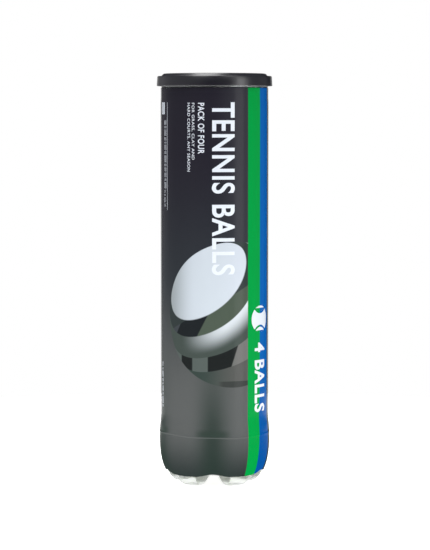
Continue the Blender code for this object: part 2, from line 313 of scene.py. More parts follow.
clear_plastic = Finish(
    "clear_plastic", Roughness=0.03, IOR=1.57, Transmission_Weight=1.0, Base_Color=colour(1, 1, 1)
)

# Painted shade darkens the steep flanks of the feet, and the plastic seen edge on is painted dark.
flow = clear_plastic.noise(60, 2, (1, 1, 0.35))
scuffs = clear_plastic.noise(900, 4, (1, 1, 6)).rise(0.58, 0.8)
clear = clear_plastic.mix(flow, colour(0.96, 0.98, 0.975), colour(0.99, 1.0, 0.995))
painted_edge_dark = clear_plastic.add("ShaderNodeLayerWeight", {}, {"Blend": 0.5}, output="Facing") ** 4
z = clear_plastic.coordinates()[2]
valley = clear_plastic.valleys(clear_plastic.round_from_front())
# Painted shade on the feet's flanks just under the sleeve: its dark inside seen through the plastic.
painted_flank_shade = valley.band(0.34, 0.84, 0.16) * (1 - z.rise(7, 11)) * z.rise(1.5, 4.5)
clear = clear_plastic.mix(painted_flank_shade * 0.85, clear, colour(0.20, 0.22, 0.19))
# Painted dark reflection of the room, where the plastic is seen edge on.
clear = clear_plastic.mix(painted_edge_dark * 0.95, clear, colour(0.03, 0.035, 0.03))
clear_plastic.set(Base_Color=clear)
neck_haze = z.rise(NECK_END * 1000 - 1, NECK_END * 1000) * 0.55
clear_plastic.set(Roughness=scuffs * 0.12 + neck_haze + 0.02)
clear_plastic.bump(flow, 0.0002, 0.4)

jar_rows = JAR_ROWS_EACH * (len(FOOT_LINE) - 1)
jar = mapped_sheet("jar", JAR_COLUMNS, jar_rows, jar_point)
wall(jar, JAR_WALL)
finish_piece(jar, "can", "clear_plastic", clear_plastic, "can_body")


# ------------------------------------------------------------------ the printed sleeve
# A printed film is shrunk round the jar from just under the seam to the feet. It bridges the
# valleys between the feet, where its lower edge rises, and is creased where it crosses the
# bulge. The ink is nearly black at the top and thins to smoky grey below.

SLEEVE_OFFSET = 0.0006
SLEEVE_WALL = 0.00022
SLEEVE_BOTTOM = 0.0072
SLEEVE_LIFT = 0.0020
SLEEVE_BRIDGE = 0.0002
SLEEVE_HUG = 0.00022
SLEEVE_RADIUS = JAR_RADIUS + SLEEVE_OFFSET
CREASE_Z = 0.0349
CREASE_WAVE = 0.0005
CREASE_WAVE_START = 0.6
CREASE_RIPPLE = 0.0002
CREASE_RIPPLES = 7
CREASE_HEIGHT = 0.00026
CREASE_HALF = 0.0006
STEP_IN = 0.00012
STEP_SOFTNESS = 0.0004
PUCKER = 0.00007
PUCKER_SCALE = (7, 90)
SLEEVE_COLUMNS = 240
SLEEVE_ROWS_EACH = 14
SLEEVE_LINE = [
    *[foot_wall(degrees) for degrees in (49.2, 37, 25, 12.5, 0)],
    *UPPER_WALL[:7],
]


def sleeve_point(around, up):
    angle = 2 * math.pi * around
    radius, height = along(SLEEVE_LINE, up)
    fall = max(0.0, 1 - (height - SLEEVE_BOTTOM) / FOOT_TOP)
    valley = (1 - foot_share(angle)) * fall**2
    offset = SLEEVE_OFFSET - SLEEVE_HUG * fall**8
    azimuth = angle + FIRST_FOOT
    wave = CREASE_WAVE * math.sin(azimuth * 2 + CREASE_WAVE_START)
    over_crease = height - CREASE_Z - wave - CREASE_RIPPLE * math.sin(azimuth * CREASE_RIPPLES)
    crease = CREASE_HEIGHT * math.exp(-((over_crease / CREASE_HALF) ** 2))
    step = STEP_IN / (1 + math.exp(over_crease / STEP_SOFTNESS))
    lumps = noise.noise(Vector((azimuth * PUCKER_SCALE[0], height * PUCKER_SCALE[1], 3)))
    pucker = PUCKER * fall**6 * lumps
    radius += offset + SLEEVE_BRIDGE * valley + crease - step + pucker
    return polar(radius, azimuth, height + SLEEVE_LIFT * valley)


sleeve_rows = SLEEVE_ROWS_EACH * (len(SLEEVE_LINE) - 1)
sleeve = mapped_sheet("sleeve", SLEEVE_COLUMNS, sleeve_rows, sleeve_point)
wall(sleeve, SLEEVE_WALL)

# The stripes' edges are in degrees round from the front, and the drawn ball is in millimetres
# round from the front and up. A facing points from that ball's centre to a circle's middle.
GREEN_START = 37.7
BLUE_START = 56.4
BLUE_END = 74.6
STRIPE_SOFTNESS = 0.15
GREEN_SWEEP = 0.5
BLUE_SWEEP = 3.6
BALL_PICTURE_AROUND = 13.7
BALL_PICTURE_Z = 118.0
BALL_PICTURE_RADIUS = 49.5
LOW_FACING = (-0.387, 0.355, 0.851)
MIDDLE_FACING = (-0.474, 0.509, 0.718)
HIGH_FACING = (-0.528, 0.582, 0.618)
EDGE_SOFTNESS = 0.006

film = Finish("sleeve_film", Specular_IOR_Level=0.0, Coat_IOR=1.13, Coat_Roughness=0.16)
z = film.coordinates()[2]
azimuth = film.round_from_front()
around_mm = azimuth * (math.pi / 180 * SLEEVE_RADIUS * 1000)

# The ink from the top down: near black, then smoky grey, then darker again round the feet. Painted
# shade darkens it over a valley, where less light comes through, and a painted highlight from the
# tall light on the right makes it paler in a band to the right of the front.
ink_and_painted_light = film.mix(z.rise(125, 235), colour(0.023, 0.027, 0.032), colour(0.0150, 0.0140, 0.0205))
ink_and_painted_light = film.mix(z.rise(62, 150), colour(0.078, 0.083, 0.082), ink_and_painted_light)
ink_and_painted_light = film.mix(z.rise(4, 42), colour(0.021, 0.028, 0.027), ink_and_painted_light)
valley = film.valleys(azimuth)
# Painted shade over each valley, where less light comes through the film.
painted_valley_shade = valley * valley * (1 - z.rise(30, 110)) * 0.85
ink_and_painted_light = film.mix(painted_valley_shade, ink_and_painted_light, colour(0.016, 0.027, 0.022))
# Painted highlight: the tall light on the right mirrored in the film.
painted_highlight_band = (azimuth + 4).rise(0, 38) * z.rise(90, 200) * 0.5
ink_and_painted_light = film.mix(painted_highlight_band, ink_and_painted_light, colour(0.042, 0.043, 0.050))

# The crease over the bulge catches the light, and shades the film just above it over a valley.
turn = (azimuth - 90) * (math.pi / 180)
wave = film.math("SINE", turn * 2 + CREASE_WAVE_START) * (CREASE_WAVE * 1000)
ripple = film.math("SINE", turn * CREASE_RIPPLES) * (CREASE_RIPPLE * 1000)
over_crease = z - wave - ripple - CREASE_Z * 1000
shade = over_crease.rise(0.2, 0.8) * (1 - over_crease.rise(2.5, 6.5)) * valley.rise(0.35, 0.9)
ink_and_painted_light = film.mix(shade * 0.8, ink_and_painted_light, colour(0.024, 0.036, 0.030))
glint = over_crease.band(-0.5, 0.1, 0.4) * (0.06 + valley * 0.08)
ink_and_painted_light = film.mix(glint, ink_and_painted_light, colour(0.30, 0.32, 0.31))

# A ball drawn on the film in greys: two pale panels of felt, with a broad dark seam below each.
across = (around_mm - BALL_PICTURE_AROUND) / BALL_PICTURE_RADIUS
upward = (z - BALL_PICTURE_Z) / BALL_PICTURE_RADIUS
squared = across * across + upward * upward
toward = film.math("SQRT", film.math("MAXIMUM", 1 - squared, 0))


def toward_facing(facing):
    """How far a point of the drawn ball lies towards a facing: 1 at its pole, 0 at its equator."""
    return across * facing[0] + toward * facing[1] + upward * facing[2]


def above_edge(facing, distance):
    """1 above a panel's edge, a circle on the drawn ball, and 0 below it."""
    return toward_facing(facing).rise(distance - EDGE_SOFTNESS, distance + EDGE_SOFTNESS)


dull, pale = colour(0.030, 0.044, 0.039), colour(0.070, 0.072, 0.068)
low_panel = film.mix(across.rise(-0.5, 0.1), dull, pale)
dull, pale = colour(0.068, 0.084, 0.078), colour(0.120, 0.120, 0.115)
low_seam = film.mix(across.rise(-0.3, 0.1), dull, pale)
right_patch = across.rise(-0.38, -0.36) * (1 - (across - upward * 0.34).rise(0.19, 0.21))
dark_patches = across.band(-0.76, -0.59, 0.02) + right_patch
low_seam = film.mix(dark_patches, low_seam, colour(0.011, 0.013, 0.013))
middle_light = toward_facing(HIGH_FACING).rise(0.31, 0.57) * across.rise(-0.78, -0.05)
dull, pale = colour(0.045, 0.058, 0.052), colour(0.50, 0.54, 0.57)
middle_panel = film.mix(middle_light, dull, pale)
slant = across - upward * 0.52
dark = colour(0.011, 0.0135, 0.0155)
high_seam = film.mix(slant.rise(-0.72, -0.70), colour(0.040, 0.046, 0.052), dark)
high_seam = film.mix(slant.rise(-0.378, -0.358), high_seam, colour(0.056, 0.074, 0.056))
seam_top = (upward - across * 0.53).rise(0.274, 0.294)
high_seam = film.mix(seam_top, high_seam, colour(0.026, 0.034, 0.034))
dull, pale = colour(0.24, 0.27, 0.28), colour(0.43, 0.475, 0.52)
high_panel = film.mix(across.rise(-1.0, -0.55), dull, pale)
high_panel = film.mix(across.rise(-0.3, 0.25), high_panel, colour(0.46, 0.50, 0.56))

ball_picture = low_panel
for facing, distance, tone in (
    (LOW_FACING, -0.335, low_seam),
    (MIDDLE_FACING, 0.134, middle_panel),
    (HIGH_FACING, 0.560, high_seam),
    (HIGH_FACING, 0.737, high_panel),
):
    ball_picture = film.mix(above_edge(facing, distance), ball_picture, tone)
low_shade = across.rise(-0.25, -0.15) * (1 - upward.rise(-0.915, -0.905))
ball_picture = film.mix(low_shade, ball_picture, colour(0.034, 0.038, 0.036))
inside = 1 - squared.rise(0.985, 1.0)
shown = film.mix(inside, ink_and_painted_light, ball_picture)


def past_edge(degrees, edge):
    return degrees.rise(edge - STRIPE_SOFTNESS, edge + STRIPE_SOFTNESS)


# The stripes sweep a little to the left as they near the feet.
low_down = 1 - z.rise(6, 78)
past_green = past_edge(azimuth + low_down * GREEN_SWEEP, GREEN_START)
past_blue = past_edge(azimuth + low_down * BLUE_SWEEP, BLUE_START)
blue = film.mix(z.rise(10, 90), colour(0.001, 0.058, 0.240), colour(0.001, 0.085, 0.320))
shown = film.mix(past_green, shown, colour(0.001, 0.245, 0.042))
shown = film.mix(past_blue, shown, blue)
shown = film.mix(past_edge(azimuth, BLUE_END), shown, ink_and_painted_light)
film.set(Base_Color=shown)

drawn = film.noise(38, 2, (1, 1, 0.12))
grain = film.noise(2600, 2)
film.set(Coat_Weight=z.rise(14, 75) * 0.96 + grain * 0.04)
film.set(Roughness=drawn * 0.12 + grain * 0.05 + 0.12)
film.bump(drawn * 0.8 + grain * 0.05, 0.0004, 0.35)
finish_piece(sleeve, "can", "sleeve_film", film, "label_sleeve")


# ------------------------------------------------------------------ the lettering
# Words, a rule, dashes and two plain ball icons are laid over the film in thick white ink. The
# words read down the can, and the back has columns of small print and a panel of bars.

INK_THICKNESS = 0.00004
SLICE = 0.001
MILLIMETRE = 0.001
LETTER_SPACING = 1.10
ARC_STEPS = 16
ICON_SEAM_CENTRE = 1.32
ICON_CAP_SEAM = 0.74
ICON_BELT_SEAM = 0.90
# Each word's feet and tops in degrees, the heights where it starts and ends, and its weight.
WORDS = (
    ("TENNIS BALLS", -2.8, 21.6, 261.0, 145.0, 0.020),
    ("PACK OF FOUR", -17.6, -10.7, 260.6, 226.5, 0.018),
    ("FOR GRASS, CLAY AND", -24.9, -21.4, 260.6, 222.5, 0.006),
    ("HARD COURTS, ANY SEASON", -30.0, -26.4, 260.6, 214.5, 0.006),
    ("4 BALLS", 47.4, 66.6, 98.0, 50.5, 0.028),
)
FRONT_ICON = (57.0, 114.0, 9.2)


def flat_mesh(data):
    """The filled mesh of a text, or of flat outlines."""
    holder = bpy.data.objects.new("flat", data)
    bpy.context.scene.collection.objects.link(holder)
    graph = bpy.context.evaluated_depsgraph_get()
    mesh = bpy.data.meshes.new_from_object(holder.evaluated_get(graph))
    bpy.data.objects.remove(holder)
    return mesh


def corners_of(mesh):
    places = [vertex.co for vertex in mesh.vertices]
    low = Vector([min(place[i] for place in places) for i in range(3)])
    high = Vector([max(place[i] for place in places) for i in range(3)])
    return low, high


def sheet_place(degrees, z):
    """A place on the sleeve laid flat: how far round from the front, and how high, in metres."""
    return Vector((math.radians(degrees) * SLEEVE_RADIUS, z * MILLIMETRE, 0))


def word(text, feet, tops, start, end, weight):
    """Capitals that read down the can, between two angles in degrees and two heights."""
    data = bpy.data.curves.new("word", "FONT")
    data.body = text
    data.extrude = 1
    data.offset = weight
    data.space_character = LETTER_SPACING
    mesh = flat_mesh(data)
    low, high = corners_of(mesh)
    size = high - low
    height = math.radians(tops - feet) * SLEEVE_RADIUS
    length = (start - end) * MILLIMETRE
    scale = Matrix.Diagonal((length / size.x, height / size.y, INK_THICKNESS / size.z, 1))
    turn = Matrix.Rotation(-math.pi / 2, 4, "Z")
    to_start = Matrix.Translation(sheet_place(feet, start))
    mesh.transform(to_start @ turn @ scale @ Matrix.Translation(-low))
    return mesh


def outlines_mesh(outlines):
    """Outlines in millimetres round the sleeve and up, filled: one inside another is a hole."""
    data = bpy.data.curves.new("outlines", "CURVE")
    data.dimensions = "2D"
    data.fill_mode = "BOTH"
    data.extrude = 1
    for outline in outlines:
        spline = data.splines.new("POLY")
        spline.points.add(len(outline) - 1)
        for point, (across_mm, up_mm) in zip(spline.points, outline):
            point.co = (across_mm, up_mm, 0, 1)
        spline.use_cyclic_u = True
    mesh = flat_mesh(data)
    flatten = Matrix.Diagonal((MILLIMETRE, MILLIMETRE, INK_THICKNESS / 2, 1))
    mesh.transform(flatten @ Matrix.Translation((0, 0, 1)))
    return mesh


def bar(degrees, z, width, height, round_off=0.25):
    """A bar with cut corners: its lower left corner in degrees and millimetres, then its size."""
    left = math.radians(degrees) * SLEEVE_RADIUS / MILLIMETRE
    cut = round_off * min(width, height)
    right, top = left + width, z + height
    return [
        (left + cut, z), (right - cut, z), (right, z + cut), (right, top - cut),
        (right - cut, top), (left + cut, top), (left, top - cut), (left, z + cut),
    ]


def arc(centre, radius, start, end):
    """Points on an arc, between two angles in degrees."""
    turns = [math.radians(start + (end - start) * i / ARC_STEPS) for i in range(ARC_STEPS + 1)]
    return [(centre[0] + radius * math.cos(t), centre[1] + radius * math.sin(t)) for t in turns]


def ball_icon(degrees, z, radius):
    """A plain round ball with two curved seams left clear of ink."""
    centre = (math.radians(degrees) * SLEEVE_RADIUS / MILLIMETRE, z)
    seam_distance = ICON_SEAM_CENTRE * radius

    def seam_line(side, seam_radius):
        """A seam's edge below or above the middle, and how far round the disc it ends."""
        crossing = (radius**2 - seam_radius**2 + seam_distance**2) / (2 * seam_distance)
        on_disc = math.degrees(math.acos(crossing / radius))
        on_seam = math.degrees(math.acos((seam_distance - crossing) / seam_radius))
        seam_centre = (centre[0], z + side * seam_distance)
        return arc(seam_centre, seam_radius, -90 * side - on_seam, -90 * side + on_seam), on_disc

    outlines = []
    for side in (-1, 1):
        line, on_disc = seam_line(side, ICON_CAP_SEAM * radius)
        outlines.append(line + arc(centre, radius, 90 * side + on_disc, 90 * side - on_disc))
    lower, lower_angle = seam_line(-1, ICON_BELT_SEAM * radius)
    upper, upper_angle = seam_line(1, ICON_BELT_SEAM * radius)
    belt = arc(centre, radius, -90 + lower_angle, 90 - upper_angle) + upper[::-1]
    belt += arc(centre, radius, 90 + upper_angle, 270 - lower_angle) + lower[::-1]
    return outlines + [belt]


def wrap(name, meshes):
    """Joins flat prints, slices them into narrow strips and bends them round the sleeve."""
    shape = bmesh.new()
    for flat in meshes:
        shape.from_mesh(flat)
        bpy.data.meshes.remove(flat)
    bmesh.ops.remove_doubles(shape, verts=shape.verts, dist=MERGE)
    first = min(vertex.co.x for vertex in shape.verts)
    last = max(vertex.co.x for vertex in shape.verts)
    for i in range(int(first / SLICE), int(last / SLICE) + 1):
        everything = shape.verts[:] + shape.edges[:] + shape.faces[:]
        bmesh.ops.bisect_plane(
            shape, geom=everything, dist=0.0000005, plane_co=(i * SLICE, 0, 0), plane_no=(1, 0, 0)
        )
    for vertex in shape.verts:
        round_way, up, out = vertex.co
        vertex.co = polar(SLEEVE_RADIUS + out, round_way / SLEEVE_RADIUS - math.pi / 2, up)
    mesh = bpy.data.meshes.new(name)
    shape.to_mesh(mesh)
    shape.free()
    made = bpy.data.objects.new(name, mesh)
    bpy.context.scene.collection.objects.link(made)
    return made


white_ink = Finish("white_ink", IOR=1.5)
patches = white_ink.noise(900, 4)
thin, thick = colour(0.55, 0.59, 0.65), colour(0.62, 0.66, 0.72)
white_ink.set(Base_Color=white_ink.mix(patches, thin, thick))
white_ink.set(Roughness=patches * 0.15 + 0.25)
white_ink.bump(white_ink.noise(2600, 2), 0.00002, 0.4)

front_prints = [word(*row) for row in WORDS] + [outlines_mesh(ball_icon(*FRONT_ICON))]
lettering = wrap("lettering", front_prints)
finish_piece(lettering, "can", "sleeve_film", white_ink)

# Prints are placed in degrees round from the front, then in millimetres.
TOP_BARS = ((-75, 1.5), (-71.6, 1.4), (-68.4, 1.4))
TOP_BARS_Z = 253
TOP_BARS_HEIGHT = 8
RULE = (-60.2, 188, 0.3, 73, 0)
DASH_LENGTHS = (3.1, 1.6, 4.4, 2.3, 1.2, 3.6, 2.0, 4.9, 1.7, 2.8)
DASH_GAP = 0.8
FRONT_DASHES = ((-66.0, 249, 190, 0.6), (-63.2, 249, 204, 0.4), (-73.5, 84, 53, 1.0))
BACK_DASH_TOP = 240
BACK_DASH_PITCH = 3.4
BACK_ICON = (160, 82, 13)
BAR_FRAME = (186, 58, 30, 42, 0.03)
FIRST_BAR = (189.5, 61.0)
BAR_WIDTHS = (1, 2, 1, 1, 3, 1, 2, 2, 1, 1, 2, 3, 1, 1, 1, 2, 2, 1, 3, 1)
BAR_UNIT = 0.62
BAR_GAP = 0.75
BAR_LENGTH = 23


def column_of_dashes(degrees, top, bottom, width):
    """Small print down the can, as a dash for each word."""
    outlines = []
    place, turn = top, 0
    while place > bottom:
        length = DASH_LENGTHS[turn % len(DASH_LENGTHS)]
        outlines.append(bar(degrees, place - length, width, length))
        place -= length + DASH_GAP
        turn += 1
    return outlines


small_bars = [bar(degrees, TOP_BARS_Z, width, TOP_BARS_HEIGHT, 0.1) for degrees, width in TOP_BARS]
small_bars.append(bar(*RULE))
for column in FRONT_DASHES:
    small_bars += column_of_dashes(*column)
for i in range(9):
    top = BACK_DASH_TOP - (9 if i % 4 == 0 else 0)
    small_bars += column_of_dashes(122 + BACK_DASH_PITCH * i, top, 118 + 14 * (i % 3), 1.0)
for i in range(5):
    bottom = 150 + 8 * (i % 2)
    small_bars += column_of_dashes(206 + BACK_DASH_PITCH * i, BACK_DASH_TOP, bottom, 1.0)

bar_panel = [bar(*BAR_FRAME)]
degrees, place = FIRST_BAR
for width in BAR_WIDTHS:
    bar_panel.append(bar(degrees, place, BAR_LENGTH, width * BAR_UNIT, 0))
    place += width * BAR_UNIT + BAR_GAP
back_prints = [outlines_mesh(shapes) for shapes in (small_bars, bar_panel, ball_icon(*BACK_ICON))]
small_print = wrap("small_print", back_prints)
finish_piece(small_print, "can", "sleeve_film", white_ink)


# ------------------------------------------------------------------ the metal end
# The end is thin rolled sheet. Its rim is folded with the jar's flange into a seam, over a ring
# of sealing compound, and its floor is scored all round so that the panel tears out whole.

RIM_RADIUS = 0.0385
RIM_BOTTOM = RIM_TOP - 0.0041
HOOK_RADIUS = 0.0377
CHUCK_RADIUS = 0.0354
GROOVE_RADIUS = 0.0342
GROOVE_Z = RIM_TOP - 0.0065
LIP_RADIUS = 0.0333
LIP_Z = GROOVE_Z + 0.0010
SHEET = 0.0003
FLOOR_Z = GROOVE_Z + SHEET
TURN_STEPS = 160


def rounded(corners, closed=True, steps=4):
    """Points along (x, y, radius) corners, with an arc of that radius at each."""
    points = []
    count = len(corners)
    for i, (across_way, up, radius) in enumerate(corners):
        here = Vector((across_way, up))
        if radius == 0 or not closed and i in (0, count - 1):
            points.append(here)
            continue
        back = (Vector(corners[i - 1][:2]) - here).normalized()
        onward = (Vector(corners[(i + 1) % count][:2]) - here).normalized()
        half = back.angle(onward) / 2
        centre = here + (back + onward).normalized() * (radius / math.sin(half))
        start = here + back * (radius / math.tan(half)) - centre
        end = here + onward * (radius / math.tan(half)) - centre
        sweep = math.pi - 2 * half
        for step in range(steps + 1):
            share = step / steps
            weights = math.sin((1 - share) * sweep), math.sin(share * sweep)
            points.append(centre + (start * weights[0] + end * weights[1]) / math.sin(sweep))
    return points


def turned(name, profile, closed, steps=TURN_STEPS):
    """A profile of (radius, height), down its outer side, turned round Z."""
    mesh = bpy.data.meshes.new(name)
    count = len(profile)
    edges = [(i, (i + 1) % count) for i in range(count if closed else count - 1)]
    mesh.from_pydata([(r, 0, up) for r, up in profile], edges, [])
    made = bpy.data.objects.new(name, mesh)
    bpy.context.scene.collection.objects.link(made)
    screw = made.modifiers.new("Turn", "SCREW")
    screw.steps = screw.render_steps = steps
    screw.use_merge_vertices = True
    screw.merge_threshold = 0.00001
    return made


def settle(made, place):
    """Applies a piece's stack, then moves its mesh to its place."""
    graph = bpy.context.evaluated_depsgraph_get()
    mesh = bpy.data.meshes.new_from_object(made.evaluated_get(graph))
    made.modifiers.clear()
    made.data = mesh
    mesh.transform(place)


def new_finish(node, finish):
    """Gives a CAD node that stays in sight a better material."""
    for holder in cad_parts[node].material_slots:
        holder.material = finish.material


tinned = Finish("tinned_sheet", Metallic=1.0)
rolling = tinned.noise(900, 2, (1, 0.02, 1))
rubs = tinned.noise(160, 5).rise(0.45, 0.75)
bright, rubbed = colour(0.56, 0.56, 0.57), colour(0.44, 0.44, 0.45)
tinned.set(Base_Color=tinned.mix(rubs, bright, rubbed))
tinned.set(Roughness=rolling * 0.08 + rubs * 0.08 + 0.28)
tinned.bump(rolling, 0.000008, 0.4)

rim_inner = RIM_RADIUS - SHEET
metal_rim = turned(
    "metal_rim",
    rounded(
        [
            (CHUCK_RADIUS - SHEET, RIM_TOP, 0.0006),
            (RIM_RADIUS, RIM_TOP, 0.0009),
            (RIM_RADIUS, RIM_BOTTOM, 0.0004),
            (HOOK_RADIUS, RIM_BOTTOM, 0.00012),
            (HOOK_RADIUS, RIM_BOTTOM + SHEET, 0.00012),
            (rim_inner, RIM_BOTTOM + SHEET, 0.0002),
            (rim_inner, RIM_TOP - SHEET, 0.0006),
            (CHUCK_RADIUS + 0.0001, RIM_TOP - SHEET, 0.0004),
            (CHUCK_RADIUS, GROOVE_Z, 0.0005),
            (GROOVE_RADIUS - SHEET, GROOVE_Z, 0.0003),
            (GROOVE_RADIUS - SHEET, LIP_Z - SHEET, 0.0001),
            (LIP_RADIUS, LIP_Z - SHEET, 0.0001),
            (LIP_RADIUS, LIP_Z, 0.0001),
            (GROOVE_RADIUS, LIP_Z, 0.00025),
            (GROOVE_RADIUS, GROOVE_Z + SHEET, 0.0002),
            (CHUCK_RADIUS - SHEET, GROOVE_Z + SHEET, 0.0002),
        ]
    ),
    closed=True,
)
finish_piece(metal_rim, "can", "metal_sheet", tinned, "end_ring")

compound = Finish("sealing_compound", IOR=1.5)
lumps = compound.noise(500, 3)
dark, light = colour(0.42, 0.43, 0.40), colour(0.58, 0.59, 0.55)
compound.set(Base_Color=compound.mix(lumps, dark, light))
compound.set(Roughness=lumps * 0.2 + 0.5)
compound.bump(lumps, 0.0001, 0.6)
new_finish("seam_compound", compound)


# ------------------------------------------------------------------ the tear-out panel
# Two round beads stiffen the panel inside the score. A rivet, drawn up from the panel in a real
# end and a piece of its own here, holds the ring-pull's tongue.

PANEL_RADIUS = LIP_RADIUS - 0.0003
PANEL_FLOOR_RADIUS = 0.0319
BEAD_RADII = (0.0140, 0.0240)
BEAD_HALF = 0.0009
BEAD_HEIGHT = 0.00035
SCORE_RADIUS = 0.0327
SCORE_DEPTH = 0.00010
TAB_BOTTOM = FLOOR_Z + 0.0006
TONGUE_TOP = TAB_BOTTOM + 0.0004
RIVET_Y = -0.0241

panel_line = [(0, FLOOR_Z, 0)]
for radius in BEAD_RADII:
    panel_line += [
        (radius - BEAD_HALF, FLOOR_Z, 0.0008),
        (radius, FLOOR_Z + BEAD_HEIGHT, 0.0008),
        (radius + BEAD_HALF, FLOOR_Z, 0.0008),
    ]
panel_line += [
    (PANEL_FLOOR_RADIUS, FLOOR_Z, 0.0003),
    (PANEL_FLOOR_RADIUS + 0.0004, LIP_Z, 0.0002),
    (SCORE_RADIUS - 0.0001, LIP_Z, 0),
    (SCORE_RADIUS, LIP_Z - SCORE_DEPTH, 0),
    (SCORE_RADIUS + 0.0001, LIP_Z, 0),
    (PANEL_RADIUS, LIP_Z, 0),
]
panel = turned("torn_panel", rounded(panel_line, closed=False), closed=False)
wall(panel, SHEET)
finish_piece(panel, "tear_panel", "metal_sheet", tinned, "tear_panel")

head_bottom = TONGUE_TOP + 0.0003
rivet = turned(
    "rivet",
    rounded(
        [
            (0, head_bottom + 0.00045, 0),
            (0.0013, head_bottom + 0.00045, 0.0004),
            (0.0018, head_bottom + 0.0007, 0.0004),
            (0.0030, head_bottom + 0.0006, 0.0004),
            (0.0032, head_bottom, 0.0002),
            (0.0020, head_bottom, 0.0001),
            (0.0020, TAB_BOTTOM - 0.0003, 0.0001),
            (0.0032, TAB_BOTTOM - 0.0003, 0.0001),
            (0.0034, FLOOR_Z - 0.0001, 0.0001),
            (0, FLOOR_Z - 0.0001, 0),
        ],
        closed=False,
    ),
    closed=False,
    steps=64,
)
settle(rivet, Matrix.Translation((0, RIVET_Y, 0)))
finish_piece(rivet, "tear_panel", "metal_sheet", tinned)


# ------------------------------------------------------------------ the ring-pull
# The ring is stamped from thicker sheet with its edges curled round. Its tongue is lanced out of
# it on three sides, and stays flat under the rivet when the ring is lifted.


def softened(node, name, width, segments):
    """A copy of a CAD node, its flat faces whole again and its edges rounded over."""
    mesh = bpy.data.meshes.new(name)
    shape = bmesh.new()
    shape.from_mesh(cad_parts[node].data)
    bmesh.ops.remove_doubles(shape, verts=shape.verts, dist=MERGE)
    flat = math.radians(1)
    bmesh.ops.dissolve_limit(shape, angle_limit=flat, verts=shape.verts, edges=shape.edges)
    shape.to_mesh(mesh)
    shape.free()
    made = bpy.data.objects.new(name, mesh)
    bpy.context.scene.collection.objects.link(made)
    edge = made.modifiers.new("Curl", "BEVEL")
    edge.width = width
    edge.segments = segments
    edge.limit_method = "ANGLE"
    edge.angle_limit = math.radians(50)
    mesh.shade_smooth()
    return made


ring_pull = softened("pull_tab", "ring_pull", 0.0007, 5)
finish_piece(ring_pull, "pull_tab", "metal_sheet", tinned, "pull_tab")
tongue = softened("tab_tongue", "tongue", 0.00012, 2)
finish_piece(tongue, "tear_panel", "metal_sheet", tinned, "tab_tongue")


# ------------------------------------------------------------------ the overcap
# The cap is moulded in near-black plastic with a satin face. It has a raised ring round a sunken
# panel, a skirt that presses over the seam and grips under it, and a gate mark in the middle.

CAP_LOW, CAP_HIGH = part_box("overcap")
CAP_TOP = CAP_HIGH.z
CAP_BOTTOM = CAP_LOW.z
CAP_RADIUS = 0.0396
CAP_TOP_RADIUS = 0.0392
CAP_WALL = 0.0010
CAP_PANEL = RIM_TOP + 0.0013
CAP_SHOULDER = CAP_PANEL + 0.0002
CAP_INSIDE = RIM_RADIUS + 0.0003
cap_under = CAP_PANEL - CAP_WALL

overcap = turned(
    "press_cap",
    rounded(
        [
            (0, CAP_PANEL + 0.00005, 0),
            (0.0012, CAP_PANEL + 0.00005, 0.0002),
            (0.0015, CAP_PANEL - 0.0002, 0.0002),
            (0.0030, CAP_PANEL - 0.0002, 0.0003),
            (0.0036, CAP_PANEL, 0.0004),
            (0.0250, CAP_PANEL, 0.0004),
            (0.0252, CAP_PANEL - 0.0001, 0.0001),
            (0.0254, CAP_PANEL, 0.0004),
            (0.0327, CAP_PANEL, 0.0006),
            (0.0335, CAP_TOP, 0.0010),
            (0.0350, CAP_TOP, 0.0018),
            (0.0364, CAP_SHOULDER, 0.0003),
            (CAP_TOP_RADIUS, CAP_SHOULDER, 0.0008),
            (CAP_RADIUS, CAP_BOTTOM, 0.0003),
            (CAP_INSIDE + 0.0002, CAP_BOTTOM, 0.0002),
            (CAP_INSIDE, CAP_BOTTOM + 0.0005, 0.0002),
            (CAP_INSIDE, CAP_BOTTOM + 0.0009, 0.0001),
            (CAP_INSIDE + 0.0002, CAP_BOTTOM + 0.0013, 0.0002),
            (CAP_INSIDE, cap_under, 0.0004),
            (0.0360, cap_under, 0.0004),
            (0.0350, CAP_TOP - CAP_WALL, 0.0003),
            (0.0340, CAP_TOP - CAP_WALL, 0.0003),
            (0.0330, cap_under, 0.0004),
            (0, cap_under, 0),
        ],
        closed=False,
    ),
    closed=False,
)
cap_plastic = Finish("cap_plastic", IOR=1.5)
pores = cap_plastic.noise(2200, 3)
handling = cap_plastic.noise(70, 5, (1, 1, 0.4)).rise(0.35, 0.75)
clean, handled = colour(0.0042, 0.0040, 0.0075), colour(0.0065, 0.0062, 0.0105)
cap_plastic.set(Base_Color=cap_plastic.mix(handling, clean, handled))
cap_plastic.set(Roughness=pores * 0.10 + handling * 0.07 + 0.25)
cap_plastic.bump(pores, 0.00004, 0.5)
finish_piece(overcap, "overcap", "cap_plastic", cap_plastic, "overcap")


# ------------------------------------------------------------------ the balls
# Each ball is a rubber core in two halves, with two dumbbell panels of napped felt glued round it.
# A cord of pale rubber fills the seam between them, which lies a little below the nap.

BALL_RADIUS = 0.0329
BALL_BED = 0.0305
FIRST_BALL = 0.0394
BALL_PITCH = 0.0661
BALL_TURNS = ((20, 35, -30), (-65, 15, 40), (80, -25, 110), (-15, 60, 200))
SEAM_WAVE = 0.31
SEAM_HALF = 0.00115
FELT_ROUNDING = 0.0013
SEAM_RUBBER_RADIUS = 0.0303
SEAM_CORD = 0.0012
SEAM_POINTS = 360
CUBE_FACES = ((0, 0, 0), (90, 0, 0), (180, 0, 0), (-90, 0, 0), (0, 90, 0), (0, -90, 0))
FACE_CELLS = 84
NAP = 0.00016
TUFT_SCALES = (17, 46)
TUFT_SHARES = (0.4, 0.6)


